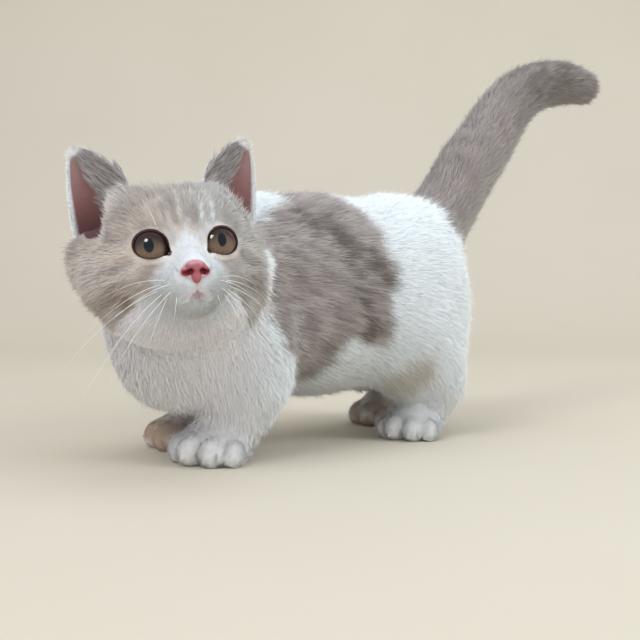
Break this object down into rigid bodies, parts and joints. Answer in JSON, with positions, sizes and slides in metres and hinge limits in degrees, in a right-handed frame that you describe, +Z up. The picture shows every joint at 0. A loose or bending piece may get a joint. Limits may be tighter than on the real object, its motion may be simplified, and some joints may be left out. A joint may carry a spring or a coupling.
{
  "type": "munchkin cat",
  "caption": "Standing short-legged kitten with a raised tail and its head turned to look over its left side, as a still life-size model.",
  "frame": {"origin": "on the floor, at the middle of the bottom of the whole kitten's box", "axes": "+Y from the nose end towards the tail, +X towards the kitten's left side, +Z up"},
  "size_m": [0.1242, 0.355, 0.2159],
  "materials": {
    "coat_white": "short plush white fur",
    "coat_lilac_white": "short plush fur, a lilac saddle on white",
    "coat_cream_white": "short plush fur, pale lilac and cream with a white blaze",
    "coat_lilac": "short plush lilac fur",
    "eye": "wet, glossy, opaque",
    "nose_leather": "soft satin pink skin"
  },
  "bodies": {
    "root": {"torso": "coat_lilac_white", "neck": "coat_white", "head": "coat_cream_white", "ear_left": "coat_lilac", "ear_right": "coat_lilac", "eye_left": "eye", "eye_right": "eye", "nose": "nose_leather", "leg_fore_left": "coat_white", "leg_fore_right": "coat_white", "leg_hind_left": "coat_white", "leg_hind_right": "coat_white", "paw_fore_left": "coat_white", "paw_fore_right": "coat_white", "paw_hind_left": "coat_white", "paw_hind_right": "coat_white", "tail_base": "coat_lilac", "tail_middle": "coat_lilac", "tail_tip": "coat_lilac"}
  },
  "joints": []
}
